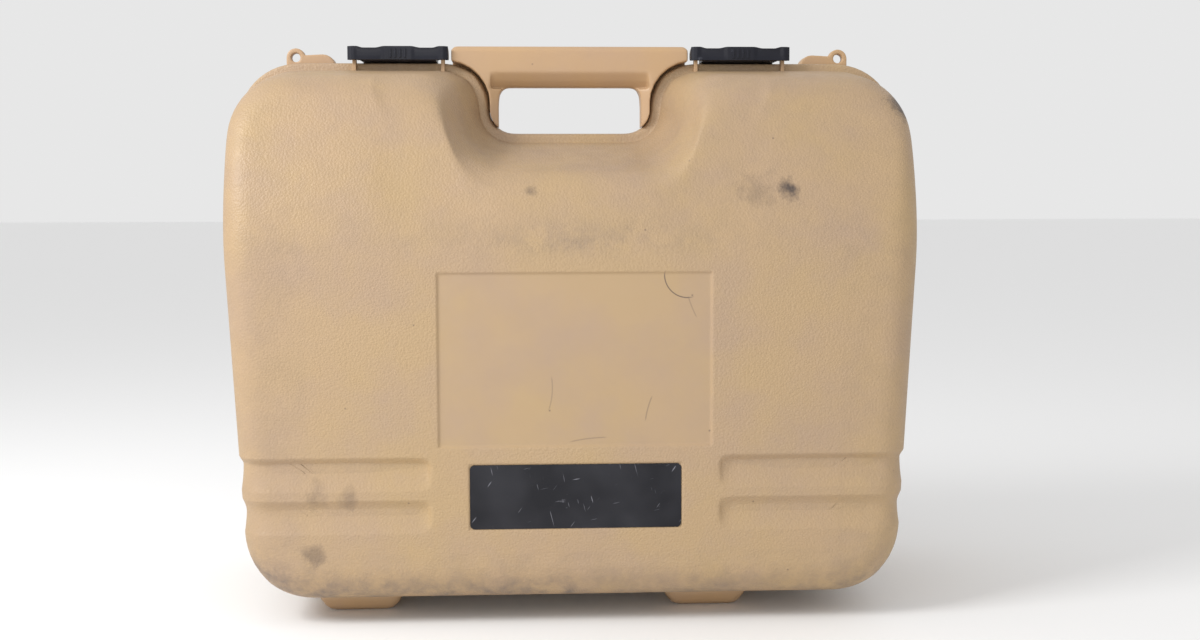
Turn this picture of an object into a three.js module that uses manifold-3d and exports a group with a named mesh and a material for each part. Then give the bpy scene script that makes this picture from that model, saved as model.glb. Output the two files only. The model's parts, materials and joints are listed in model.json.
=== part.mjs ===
// A hard carrying case for a rotating laser level: two moulded half shells hinged along the bottom,
// a fixed carry handle in a notch at the top, two toggle latches, two shoulder strap eyes and fitted foam.
// Millimetres, +X to the right, +Y to the back, +Z up. The case stands upright on its four feet:
// the lid is the front half (-Y), the base is the back half (+Y), and they part at the plane Y = 0.
import * as THREE from 'three';
import { mergeVertices } from 'three/addons/utils/BufferGeometryUtils.js';
import Module from 'manifold-3d';

const wasm = await Module();
wasm.setup();

// ---- driving dimensions ----
const HALF_DEPTH = 110; // parting plane to the flat front or back face
const WALL = 3; // shell wall thickness
const GAP = 0.3; // clearance between pieces that touch
const RIDGE_Z = 257; // the face leans back above this height
const TOP_Z = 373; // top wall at the parting plane
const BOTTOM_Z = 14; // bottom wall at the parting plane
const RIDGE_HALF_WIDTH = 228; // side wall at and above the ridge, at the face
const FOOT_HALF_WIDTH = 217.5; // side wall at the bottom, at the face
const DRAFT = 2; // the side walls are this much wider at the parting plane
const TOP_SLOPE = 0.165; // fall of the top wall per millimetre towards the face
const BOTTOM_SLOPE = 0.02; // rise of the bottom wall per millimetre towards the face
const TOP_CORNER = 38; // corner radii of the outline
const BOTTOM_CORNER = 44;
const EDGE_RADIUS = 20; // rounding between the face and the side walls
const FLANGE = 4.5; // the rim stands proud of the walls by this much
const FLANGE_DEPTH = 6; // thickness of the rim along Y
const PARTING = 0.2; // half of the gap between the two rims

// The notch round the handle. Its walls flare towards the face.
const NOTCH_HALF_WIDTH = 61.5;
const NOTCH_FLOOR = 323.5;
const NOTCH_CORNER = 20.5;
const NOTCH_FLARE = 25.5;
const NOTCH_OPENING = 0.32; // growth of the half width per millimetre of depth
const NOTCH_FALL = 0.283; // fall of the floor per millimetre of depth
const NOTCH_FLARE_GROWTH = 0.05; // growth of the two radii per millimetre of depth
const NOTCH_CORNER_GROWTH = 0.09;

// The face's depth at each height: bottom edge, flat face, ridge, leaning face and top edge.
const FACE_PROFILE = [
  [8, 78], [16, 85], [20, 95], [27, 103], [35, 107.5], [46, HALF_DEPTH],
  [235, HALF_DEPTH], [257, 108.5], [280, 103.7], [315, 90], [346, 74.5], [355, 68], [361, 60], [364.4, 52],
  [366, 43], [382, 40],
];

const PANEL = { halfWidth: 88.8, low: 119.6, high: 232.4, depth: 1.2, corner: 3 };
const PLATE = { halfWidth: 69, low: 65.4, high: 107.6, depth: 1, corner: 3, thickness: 0.7 };
const GROOVES = [108.2, 80.1]; // height of each groove's deepest line
const GROOVE = { start: 93, depth: 3.6, above: 5, below: 17, sideDepth: 2 };

const HINGE = { z: 7, radius: 5, pin: 2, centres: [-118, 118], pitch: 12, knuckles: 5 };
// Each half has a pair of feet set off centre, so that the two pairs pass each other when the case is
// opened flat.
const FEET = { centres: [-146, 90], halfTop: 32, halfFoot: 22.5, near: 22, far: 72, taper: 6, corner: 5 };

const LATCH = {
  centres: [-120.5, 120.5], halfWidth: 35, front: -18, low: 378, high: 387.5,
  pivot: [-8, 381.8], claw: [-12.6, 379.4], pin: 1.2,
};
const LEVER = { arm: 2.4, bar: 2.9, armEnd: 3.1, rib: 1.8, gripPitch: 3.4, gripWidth: 1.6, gripHeight: 0.7 };
const LUG = { width: 2.6, radius: 3 };
const CLAW = { halfWidth: 26.5, noseDepth: 9.4, crest: 4.6, clearance: 0.8 };

const HANDLE = {
  halfWidth: 83.6, top: 388.4, grip: 360, openingHalf: 50.3, openingCorner: 7,
  depth: 12.4, chamfer: 2.5, legReachLow: 344,
};
const HANDLE_SCREWS = [347, 357]; // heights of the handle's screws
const SCREW = { radius: 1.9, head: 3.8, headDepth: 2.4, y: 9.4, tip: 54, seat: 77.5 };
const EYE = {
  x: 195, z: 382, radius: 6.6, hole: 3.3, near: 6.6, thickness: 7, blockEnd: 167, blockCorner: 9, screwX: 178,
};
const EYE_SCREW_Y = EYE.near + EYE.thickness;

const FOAM_INSET = WALL + 2 * GAP;
const POCKET_CORNER = 10;
const BEYOND = 260; // an X outside the case
const POCKETS = {
  instrument: { x: [-198, -20], z: [34, 238], depth: 88 },
  receiver: { x: [4, 88], z: [40, 214], depth: 46 },
  charger: { x: [104, 196], z: [40, 118], depth: 62 },
  clamp: { x: [104, 196], z: [134, 232], depth: 56 },
};

// ---- solids ----
const V2 = (x, y) => new THREE.Vector2(x, y);
const V3 = (x, y, z) => new THREE.Vector3(x, y, z);

function solid(geometry) {
  const bare = geometry.index ? geometry.toNonIndexed() : geometry.clone();
  bare.deleteAttribute('normal');
  bare.deleteAttribute('uv');
  const merged = mergeVertices(bare, 1e-4);
  const corners = merged.index.array;
  const kept = [];
  for (let i = 0; i < corners.length; i += 3) {
    const [a, b, c] = corners.slice(i, i + 3);
    if (a !== b && b !== c && a !== c) kept.push(a, b, c);
  }
  const mesh = new wasm.Mesh({
    numProp: 3, vertProperties: merged.attributes.position.array, triVerts: new Uint32Array(kept),
  });
  return new wasm.Manifold(mesh);
}

function geometryOf(manifold) {
  const mesh = manifold.getMesh();
  const geometry = new THREE.BufferGeometry();
  geometry.setAttribute('position', new THREE.BufferAttribute(mesh.vertProperties, 3));
  geometry.setIndex(new THREE.BufferAttribute(mesh.triVerts, 1));
  geometry.computeVertexNormals();
  return geometry;
}

// A closed body through rings of equal length; flat gives each ring's own plane coordinates for the caps.
function loft(rings, flat) {
  const count = rings[0].length;
  const points = rings.flat();
  const faces = [];
  for (let k = 0; k + 1 < rings.length; k++) {
    for (let i = 0; i < count; i++) {
      const j = (i + 1) % count;
      const [a, b, c, d] = [k * count + i, k * count + j, (k + 1) * count + j, (k + 1) * count + i];
      faces.push(a, b, c, a, c, d);
    }
  }
  const cap = THREE.ShapeUtils.triangulateShape(rings[0].map(flat), []);
  const last = (rings.length - 1) * count;
  const area = THREE.ShapeUtils.area(rings[0].map(flat));
  for (const [a, b, c] of cap) {
    if (area > 0) faces.push(a, c, b, last + a, last + b, last + c);
    else faces.push(a, b, c, last + a, last + c, last + b);
  }
  const geometry = new THREE.BufferGeometry().setFromPoints(points);
  geometry.setIndex(faces);
  const made = solid(geometry);
  if (made.volume() >= 0) return made;
  for (let i = 0; i < faces.length; i += 3) [faces[i + 1], faces[i + 2]] = [faces[i + 2], faces[i + 1]];
  geometry.setIndex(faces);
  return solid(geometry);
}

function box(x0, x1, y0, y1, z0, z1) {
  const geometry = new THREE.BoxGeometry(x1 - x0, y1 - y0, z1 - z0);
  return solid(geometry.translate((x0 + x1) / 2, (y0 + y1) / 2, (z0 + z1) / 2));
}

function cylinder(radius, from, to, segments = 16) {
  const span = to.clone().sub(from);
  const geometry = new THREE.CylinderGeometry(radius, radius, span.length(), segments);
  const turn = new THREE.Quaternion().setFromUnitVectors(V3(0, 1, 0), span.clone().normalize());
  geometry.applyQuaternion(turn);
  const middle = from.clone().add(to).multiplyScalar(0.5);
  return solid(geometry.translate(middle.x, middle.y, middle.z));
}

// A prism along Y from an outline in X and Z.
function alongY(points, y0, y1, holes = []) {
  const shape = new THREE.Shape(points);
  shape.holes = holes.map((hole) => new THREE.Path(hole));
  const geometry = new THREE.ExtrudeGeometry(shape, { depth: y1 - y0, bevelEnabled: false });
  return solid(geometry.rotateX(Math.PI / 2).translate(0, y1, 0));
}

// A prism along X from an outline in Y and Z.
function alongX(points, x0, x1) {
  const shape = new THREE.Shape(points);
  const geometry = new THREE.ExtrudeGeometry(shape, { depth: x1 - x0, bevelEnabled: false });
  geometry.applyMatrix4(new THREE.Matrix4().makeBasis(V3(0, 1, 0), V3(0, 0, 1), V3(1, 0, 0)));
  return solid(geometry.translate(x0, 0, 0));
}

function arc(cx, cy, radius, from, to, steps) {
  return Array.from({ length: steps + 1 }, (_, i) => {
    const angle = THREE.MathUtils.degToRad(from + ((to - from) * i) / steps);
    return V2(cx + radius * Math.cos(angle), cy + radius * Math.sin(angle));
  });
}

function roundedRectangle(x0, x1, y0, y1, radius, steps = 3) {
  return [
    ...arc(x1 - radius, y0 + radius, radius, -90, 0, steps),
    ...arc(x1 - radius, y1 - radius, radius, 0, 90, steps),
    ...arc(x0 + radius, y1 - radius, radius, 90, 180, steps),
    ...arc(x0 + radius, y0 + radius, radius, 180, 270, steps),
  ];
}

// A rounded rectangle about X = 0, given as { halfWidth, low, high, corner }, grown by extra.
const centredRectangle = ({ halfWidth, low, high, corner }, extra = 0) =>
  roundedRectangle(-halfWidth - extra, halfWidth + extra, low - extra, high + extra, corner);

const mirrored = (manifold, x, y) => manifold.scale([x, y, 1]);
const joined = (first, ...rest) => rest.reduce((sum, piece) => sum.add(piece), first);
const cut = (body, ...tools) => tools.reduce((left, tool) => left.subtract(tool), body);

// ---- the half shell's form ----
// The side wall's distance from the middle at height z, on the face.
function halfWidthAt(z) {
  const share = THREE.MathUtils.clamp((z - BOTTOM_Z) / (RIDGE_Z - BOTTOM_Z), 0, 1);
  return THREE.MathUtils.lerp(FOOT_HALF_WIDTH, RIDGE_HALF_WIDTH, share);
}

// The case's outline in X and Z at a depth from the parting plane, grown outwards by grow.
function outlineAt(depth, grow) {
  const side = grow + DRAFT * (1 - depth / HALF_DEPTH);
  const top = TOP_Z - TOP_SLOPE * depth + grow;
  const bottom = BOTTOM_Z + BOTTOM_SLOPE * depth - grow;
  const low = FOOT_HALF_WIDTH + side;
  const high = RIDGE_HALF_WIDTH + side;
  const notch = NOTCH_HALF_WIDTH + NOTCH_OPENING * depth - grow;
  const floor = NOTCH_FLOOR - NOTCH_FALL * depth + grow;
  const flare = NOTCH_FLARE + NOTCH_FLARE_GROWTH * depth + grow;
  const corner = NOTCH_CORNER + NOTCH_CORNER_GROWTH * depth - grow;
  const [r0, r1] = [BOTTOM_CORNER + grow, TOP_CORNER + grow];
  const right = [
    ...arc(low - r0, bottom + r0, r0, -90, 0, 6), V2(high, RIDGE_Z),
    ...arc(high - r1, top - r1, r1, 0, 90, 6),
    ...arc(notch + flare, top - flare, flare, 90, 180, 5),
    ...arc(notch - corner, floor + corner, corner, 0, -90, 4),
  ];
  return [...right, ...right.map((p) => V2(-p.x, p.y)).reverse()];
}

// The front half as a solid body, its walls and face moved inwards by inset, starting at the plane Y = start.
function halfForm(inset, start = 0) {
  const ring = (y) => outlineAt(Math.max(-y, 0), -inset).map((p) => V3(p.x, y, p.y));
  const depths = [start, 0, -HALF_DEPTH - 6].filter((y, k) => k > 0 || y > 0);
  const prism = loft(depths.map(ring), (p) => V2(p.x, p.z));
  const last = FACE_PROFILE.length - 1;
  const sections = FACE_PROFILE.map(([z, depth], k) => {
    const d = depth - inset;
    const width = halfWidthAt(z) - inset + DRAFT * (1 - d / HALF_DEPTH);
    const radius = EDGE_RADIUS - inset;
    // An end section lies beyond the wall there, and the one over the top edge moves down with the wall.
    const height = z + (k === last || k === 0 ? 0 : z > 300 ? -inset : z < 50 ? inset : 0);
    const side = arc(width - radius, -d + radius, radius, -90, 0, 5);
    const right = [...side, V2(width + 6, -d + radius + 6), V2(width + 6, start + 6)];
    return [...right, ...right.map((p) => V2(-p.x, p.y)).reverse()].map((p) => V3(p.x, p.y, height));
  });
  return prism.intersect(loft(sections, (p) => V2(p.x, p.y)));
}

// Everything within reach of the parting plane, to cut away.
const partingSlice = (reach) => box(-300, 300, -reach, 1, -10, 400);

// One groove of the lower corners: a short step in, then a long slope out, on the face and round the side.
function grooveCutters(z) {
  const out = HALF_DEPTH + 4;
  const [high, low] = [z + GROOVE.above, z - GROOVE.below];
  const skin = -HALF_DEPTH + 0.02;
  const bed = -HALF_DEPTH + GROOVE.depth;
  const face = [V2(-out, high), V2(skin, high), V2(bed, z + 1), V2(bed, z - 2), V2(skin, low), V2(-out, low)];
  const wall = halfWidthAt(z) + DRAFT;
  const sideBed = wall - GROOVE.sideDepth;
  const side = [
    V2(wall + 6, high), V2(wall - 0.6, high), V2(sideBed, z + 1),
    V2(sideBed, z - 2), V2(wall - 0.6, low), V2(wall + 6, low),
  ];
  const onFace = alongX(face, GROOVE.start, BEYOND);
  const onSide = alongY(side, -out, -FLANGE_DEPTH - 14);
  return [onFace, mirrored(onFace, -1, 1), onSide, mirrored(onSide, -1, 1)];
}

// Where the grooves run, the wall is thicker inside by this block.
function groovePads(extra) {
  const [high, low] = [GROOVES[0] + GROOVE.above + extra, GROOVES[1] - GROOVE.below - extra];
  const front = -HALF_DEPTH - 1;
  const bed = -HALF_DEPTH + WALL + GROOVE.depth + extra;
  const face = box(GROOVE.start - WALL - extra, BEYOND, front, bed, low, high);
  const wall = halfWidthAt(GROOVES[1]) + DRAFT - WALL - GROOVE.sideDepth - extra;
  const side = box(wall, BEYOND, front, -FLANGE_DEPTH, low, high);
  return [face, mirrored(face, -1, 1), side, mirrored(side, -1, 1)];
}

function foot(centre) {
  const { halfTop, halfFoot, near, far, taper, corner } = FEET;
  const ring = (z, half, back, front) =>
    roundedRectangle(centre - half, centre + half, -front, -back, corner, 2).map((p) => V3(p.x, p.y, z));
  const top = BOTTOM_Z + BOTTOM_SLOPE * near + 1.5;
  const rings = [
    ring(top, halfTop, near, far), ring(3, halfFoot + 2.4, near + taper - 1.4, far - taper + 1.4),
    ring(0, halfFoot, near + taper, far - taper),
  ];
  return loft(rings, (p) => V2(p.x, p.y));
}

// The stretches of X that one half's knuckles take: every other one, the base's from the first, the lid's
// from the second.
function knuckleSpans(lid, centre) {
  const spans = [];
  for (let k = lid ? 1 : 0; k < HINGE.knuckles; k += 2) {
    const start = centre + (k - HINGE.knuckles / 2) * HINGE.pitch;
    spans.push([start + GAP, start + HINGE.pitch - GAP]);
  }
  return spans;
}

const rod = (radius, x0, x1, y, z, segments) => cylinder(radius, V3(x0, y, z), V3(x1, y, z), segments);

function knuckles(lid, centre) {
  const reach = lid ? [-FLANGE_DEPTH, -PARTING] : [PARTING, FLANGE_DEPTH];
  return knuckleSpans(lid, centre).map(([x0, x1]) => {
    const web = box(x0, x1, ...reach, HINGE.z, BOTTOM_Z - 0.5);
    return rod(HINGE.radius, x0, x1, 0, HINGE.z, 20).add(web);
  });
}

// Room for the other half's knuckles in this half's rim.
const knuckleRoom = (lid, centre) => knuckleSpans(!lid, centre).map(([x0, x1]) =>
  rod(HINGE.radius + 0.7, x0 - 2 * GAP, x1 + 2 * GAP, 0, HINGE.z, 20));

function hingeBore(centre) {
  const half = (HINGE.pitch * HINGE.knuckles) / 2 + 1;
  return rod(HINGE.pin + GAP, centre - half, centre + half, 0, HINGE.z, 16);
}

// One half shell in the front position: hollow form, rim, grooves, panel and feet.
function halfShell() {
  const rim = alongY(outlineAt(0, FLANGE), -FLANGE_DEPTH, -PARTING);
  const outer = cut(halfForm(0), ...GROOVES.flatMap(grooveCutters), partingSlice(PARTING)).add(rim);
  const inner = cut(halfForm(WALL, 2), ...groovePads(0));
  const panel = alongY(centredRectangle(PANEL), -HALF_DEPTH - 1, -HALF_DEPTH + PANEL.depth);
  return joined(cut(outer, inner, panel), ...FEET.centres.map(foot));
}

// ---- latch pieces, built round X = 0 and moved to their places ----
const [pivotY, pivotZ] = LATCH.pivot;
const [clawY, clawZ] = LATCH.claw;
const LUG_OUTER = LATCH.halfWidth - LEVER.arm - GAP;

function latchLugs() {
  const { radius, width } = LUG;
  const low = TOP_Z - 4;
  const crown = arc(pivotY, pivotZ, radius, 0, 180, 8);
  const profile = [V2(pivotY - radius, low), V2(pivotY + radius, low), ...crown];
  const lug = alongX(profile, LUG_OUTER - width, LUG_OUTER);
  return [lug, mirrored(lug, -1, 1)];
}

function latchPivotBore() {
  const end = LATCH.halfWidth + 2;
  return rod(LATCH.pin + GAP, -end, end, pivotY, pivotZ, 12);
}

// The lever: a front bar with grip ribs, an arm at each end, and two ribs inside that carry the claw's pin.
function leverForm() {
  const { halfWidth, front, low, high, pin } = LATCH;
  const back = front + LEVER.bar;
  const lip = [V2(front + 1.6, high), V2(front, high - 2)];
  const barProfile = [V2(front + 1.2, low), V2(back, low), V2(back, high - 3), V2(front + 4.6, high), ...lip];
  const bar = alongX(barProfile, -halfWidth, halfWidth);
  const armProfile = [
    V2(front + 1.2, low), V2(pivotY - 1.6, low + 1), ...arc(pivotY, pivotZ, LEVER.armEnd, -110, 75, 7),
    V2(pivotY - 2, high - 1), ...lip,
  ];
  const arm = alongX(armProfile, halfWidth - LEVER.arm, halfWidth);
  const ribProfile = [
    V2(front + 2, low + 0.2), V2(clawY + 1.8, low + 0.2), V2(clawY + 2, clawZ + 1.8),
    V2(front + 4.2, high - 1.4), V2(front + 2, high - 1.4),
  ];
  const ribStart = CLAW.halfWidth + GAP;
  const rib = alongX(ribProfile, ribStart, ribStart + LEVER.rib);
  const lever = joined(bar, arm, mirrored(arm, -1, 1), rib, mirrored(rib, -1, 1), ...leverGrips());
  const pinBore = rod(pin + GAP / 2, -ribStart - 3, ribStart + 3, clawY, clawZ, 12);
  return cut(lever, pinBore, latchPivotBore());
}

function leverGrips() {
  const { front, low, high } = LATCH;
  const half = LEVER.gripWidth / 2;
  return [-1.5, -0.5, 0.5, 1.5].map((k) => {
    const x = k * LEVER.gripPitch;
    return box(x - half, x + half, front - LEVER.gripHeight, front + 2, low + 1.5, high - 2.2);
  });
}

// The claw: a plate that reaches from its pin over both rims, with a nose behind the base's rim.
function clawForm() {
  const { halfWidth, noseDepth, crest } = CLAW;
  const { low, pin } = LATCH;
  const noseLow = TOP_Z + 1.4;
  const profile = [
    ...arc(clawY, clawZ, 1.35 + pin / 2, 90, 250, 6), V2(pivotY, low), V2(noseDepth - 2.9, low),
    V2(noseDepth - 2.6, noseLow), V2(noseDepth, noseLow), V2(noseDepth + 0.9, low + 1),
    V2(noseDepth - 0.8, low + crest), V2(-1.2, low + crest), V2(pivotY + 1.5, low + 3.2),
  ];
  const bore = rod(pin + GAP, -halfWidth - 4, halfWidth + 4, clawY, clawZ, 12);
  return alongX(profile, -halfWidth, halfWidth).subtract(bore);
}

// The base's rim is cut down where each claw reaches over it.
function clawRoom(centre) {
  const half = CLAW.halfWidth + CLAW.clearance;
  return box(centre - half, centre + half, -1, FLANGE_DEPTH + 0.2, TOP_Z + 1, TOP_Z + 12);
}

// ---- handle ----
// The right edge of the handle, from the foot of its leg up to its top corner. It follows the rim's notch.
function handleEdge() {
  const slack = 2 * GAP;
  const wall = NOTCH_HALF_WIDTH - FLANGE;
  const corner = NOTCH_CORNER - FLANGE;
  const flare = NOTCH_FLARE + FLANGE;
  const { openingHalf, halfWidth, top, chamfer } = HANDLE;
  const cornerX = wall - corner;
  const footAngle = THREE.MathUtils.radToDeg(Math.acos((openingHalf - cornerX) / (corner - slack)));
  const shoulder = THREE.MathUtils.radToDeg(Math.acos((wall + flare - halfWidth) / (flare + slack)));
  return [
    ...arc(cornerX, NOTCH_FLOOR + FLANGE + corner, corner - slack, -footAngle, 0, 4),
    ...arc(wall + flare, TOP_Z + FLANGE - flare, flare + slack, 180, 180 - shoulder, 6),
    V2(halfWidth, top - chamfer), V2(halfWidth - chamfer, top),
  ];
}

function handleOutline() {
  const { openingHalf, openingCorner, grip } = HANDLE;
  const opening = arc(openingHalf - openingCorner, grip - openingCorner, openingCorner, 90, 0, 4);
  const right = [...opening, ...handleEdge()];
  return [...right, ...right.map((p) => V2(-p.x, p.y)).reverse()];
}

// Behind the base's rim each leg reaches out to the notch's wall, where the screws hold it.
function handleReach() {
  const low = HANDLE.legReachLow;
  const { openingHalf, halfWidth } = HANDLE;
  const wall = outlineAt(FLANGE_DEPTH, 2 * GAP).filter((p) => p.x > 0 && p.x < halfWidth && p.y > low);
  return [
    V2(openingHalf, TOP_Z), V2(openingHalf, low), V2(wall.at(-1).x, low), ...wall.reverse(),
    V2(halfWidth, wall.at(-1).y), V2(halfWidth, TOP_Z + 8), V2(openingHalf, TOP_Z + 8),
  ];
}

function carryHandle() {
  const { depth: d, grip: g, top: t } = HANDLE;
  const reach = alongY(handleReach(), FLANGE_DEPTH + 2 * GAP, d);
  const body = joined(alongY(handleOutline(), -d, d), reach, mirrored(reach, -1, 1));
  // Long chamfers round the grip for the hand, and short ones along its top.
  const hand = [V2(-d - 1, g - 1), V2(-d + 7, g - 1), V2(-d + 3, g + 4), V2(-d - 1, g + 12)];
  const underside = alongX(hand, -56, 56);
  const topEdge = alongX([V2(-d - 1, t - 4), V2(-d + 4, t + 1), V2(-d - 1, t + 1)], -90, 90);
  const bores = HANDLE_SCREWS.flatMap((z) => [-1, 1].map((side) => screwBore(side, z)));
  return cut(body, underside, mirrored(underside, 1, -1), topEdge, mirrored(topEdge, 1, -1), ...bores);
}

// A block inside the base, beside the notch, gives the screws a flat seat.
const screwBlock = () => box(58, SCREW.seat, PARTING + 1, 16, HANDLE_SCREWS[0] - 6, HANDLE_SCREWS[1] + 6);

function screwBore(side, z) {
  const ends = [side * (SCREW.tip - 2 * GAP), side * (SCREW.seat + 4)];
  return rod(SCREW.radius + GAP, ...ends, SCREW.y, z, 12);
}

// A pan-head screw from its tip to its head, along a direction.
function screw(tip, seat) {
  const along = seat.clone().sub(tip).normalize();
  const shank = cylinder(SCREW.radius, tip, seat.clone().addScaledVector(along, 0.5), 12);
  const head = cylinder(SCREW.head, seat, seat.clone().addScaledVector(along, SCREW.headDepth), 16);
  return shank.add(head);
}

// ---- strap eyes ----
function strapEye() {
  const { x, z, radius, hole, near, thickness, blockEnd, blockCorner, screwX } = EYE;
  const base = TOP_Z - TOP_SLOPE * (near + thickness / 2) + 1;
  const crown = [V2(x - radius, base), V2(x + radius, base), ...arc(x, z, radius, 0, 180, 12)];
  const ring = alongY(crown, near, near + thickness, [arc(x, z, hole, 0, 330, 11)]);
  const inner = x - radius + 2;
  const shoulder = arc(blockEnd + blockCorner, z - radius, blockCorner, 90, 180, 5);
  const blockProfile = [V2(inner, base), V2(inner, z + 1.6), ...shoulder, V2(blockEnd, base)];
  const block = alongY(blockProfile, near, near + thickness + 6);
  return cut(ring.add(block), eyeScrewBore(screwX, base - 3, z - 1));
}

const eyeScrewBore = (x, low, high) =>
  cylinder(SCREW.radius + GAP, V3(x, EYE_SCREW_Y, low), V3(x, EYE_SCREW_Y, high), 12);

// ---- foam ----
// A pocket of the foam, cut from y0 to y1.
function pocket(name, y0, y1) {
  const { x, z } = POCKETS[name];
  return alongY(roundedRectangle(...x, ...z, POCKET_CORNER), y0, y1);
}

// The front half's foam as a full block, clear of the shell's thick places and the parting plane.
const foamBlock = () => cut(halfForm(FOAM_INSET), ...groovePads(0.5), partingSlice(2 * GAP));

// Room in the base's foam for the heads of the screws at one side.
function headRoom(side) {
  const [x0, x1] = [side * 58, side * (SCREW.seat + 5)].sort((a, b) => a - b);
  const handleRoom = box(x0, x1, -1, 17, HANDLE_SCREWS[0] - 8, HANDLE_SCREWS[1] + 8);
  const eyeX = side * EYE.screwX;
  const eyeRoom = box(eyeX - 6, eyeX + 6, -1, EYE_SCREW_Y + 6, TOP_Z - 14, TOP_Z + 1);
  return [handleRoom, eyeRoom];
}

// ---- assembly ----
const material = (color, roughness, metalness = 0) =>
  new THREE.MeshStandardMaterial({ color, roughness, metalness });
const SHELL = material('#cfae88', 0.62);
const SMOOTH = material('#d2ab80', 0.5);
const BLACK = material('#24252c', 0.45);
const STEEL = material('#b9babd', 0.35, 1);
const PLATE_BLACK = material('#26272f', 0.4, 0.3);
const FOAM = material('#2b2c2e', 0.95);

const carryingCase = new THREE.Group();
function add(name, manifold, look) {
  const mesh = new THREE.Mesh(geometryOf(manifold), look);
  mesh.name = name;
  carryingCase.add(mesh);
}
const moved = (manifold, x) => manifold.translate([x, 0, 0]);

const half = halfShell();
const plateSeat = alongY(centredRectangle(PLATE, 0.4), -HALF_DEPTH - 1, -HALF_DEPTH + PLATE.depth);

let lid = joined(half, ...HINGE.centres.flatMap((x) => knuckles(true, x)));
lid = joined(lid, ...LATCH.centres.flatMap((x) => latchLugs().map((lug) => moved(lug, x))));
lid = cut(
  lid, plateSeat, ...HINGE.centres.flatMap((x) => knuckleRoom(true, x)), ...HINGE.centres.map(hingeBore),
  ...LATCH.centres.map((x) => moved(latchPivotBore(), x)),
);
add('lid_shell', lid, SHELL);

// The base is the same half turned about the vertical.
let base = joined(mirrored(half, -1, -1), ...HINGE.centres.flatMap((x) => knuckles(false, x)));
const block = screwBlock().intersect(mirrored(halfForm(0), 1, -1));
base = joined(base, block, mirrored(block, -1, 1));
base = cut(
  base, ...HINGE.centres.flatMap((x) => knuckleRoom(false, x)), ...HINGE.centres.map(hingeBore),
  ...LATCH.centres.map(clawRoom),
);
for (const side of [-1, 1]) {
  base = cut(base, ...HANDLE_SCREWS.map((z) => screwBore(side, z)));
  base = cut(base, eyeScrewBore(side * EYE.screwX, TOP_Z - 12, TOP_Z + 4));
}
add('base_shell', base, SHELL);

add('carry_handle', carryHandle(), SMOOTH);
for (const [side, word] of [[-1, 'left'], [1, 'right']]) {
  HANDLE_SCREWS.forEach((z, i) => {
    const [tip, seat] = [SCREW.tip, SCREW.seat].map((x) => V3(side * x, SCREW.y, z));
    add(`handle_screw_${word}_${i ? 'upper' : 'lower'}`, screw(tip, seat), STEEL);
  });
  add(`strap_eye_${word}`, mirrored(strapEye(), side, 1), SMOOTH);
  const seatZ = TOP_Z - TOP_SLOPE * EYE_SCREW_Y - WALL - 3 * GAP;
  const [tip, seat] = [EYE.z - 1.6, seatZ].map((z) => V3(side * EYE.screwX, EYE_SCREW_Y, z));
  add(`strap_eye_screw_${word}`, screw(tip, seat), STEEL);
}

const basePockets = Object.keys(POCKETS).map((name) => pocket(name, -1, POCKETS[name].depth));
add('base_foam', cut(mirrored(foamBlock(), 1, -1), ...basePockets, ...[-1, 1].flatMap(headRoom)), FOAM);
add('lid_foam', cut(foamBlock(), pocket('instrument', -POCKETS.instrument.depth, 1)), FOAM);

const plateBack = -HALF_DEPTH + PLATE.depth - 0.1;
add('nameplate', alongY(centredRectangle(PLATE), plateBack - PLATE.thickness, plateBack), PLATE_BLACK);

HINGE.centres.forEach((x, i) => {
  const halfPin = (HINGE.pitch * HINGE.knuckles) / 2 - 0.5;
  add(`hinge_pin_${i ? 'right' : 'left'}`, rod(HINGE.pin, x - halfPin, x + halfPin, 0, HINGE.z, 16), STEEL);
});

LATCH.centres.forEach((x, i) => {
  const name = `latch_${i ? 'right' : 'left'}`;
  add(`${name}_lever`, moved(leverForm(), x), BLACK);
  add(`${name}_claw`, moved(clawForm(), x), BLACK);
  const pinHalf = CLAW.halfWidth + GAP + LEVER.rib - 0.1;
  add(`${name}_claw_pin`, rod(LATCH.pin, x - pinHalf, x + pinHalf, clawY, clawZ, 12), STEEL);
  for (const side of [-1, 1]) {
    const ends = [x + side * (LUG_OUTER - LUG.width + 0.1), x + side * (LATCH.halfWidth - 0.1)];
    const word = side * x > 0 ? 'outer' : 'inner';
    add(`${name}_pivot_pin_${word}`, rod(LATCH.pin, ...ends, pivotY, pivotZ, 12), STEEL);
  }
});

export default carryingCase;
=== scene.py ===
"""Looks of a hard carrying case for a laser level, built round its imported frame.

Lengths are in metres: +X to the right, +Y to the back, +Z up, with the case standing on its four feet.
The lid is the front half and the base is the same form turned half a turn about Z.
"""
import json
import logging
import math
from dataclasses import dataclass
from enum import Enum, auto
from typing import Callable, Iterable, Sequence

import bmesh
import bpy
from mathutils import Matrix, Vector


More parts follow.
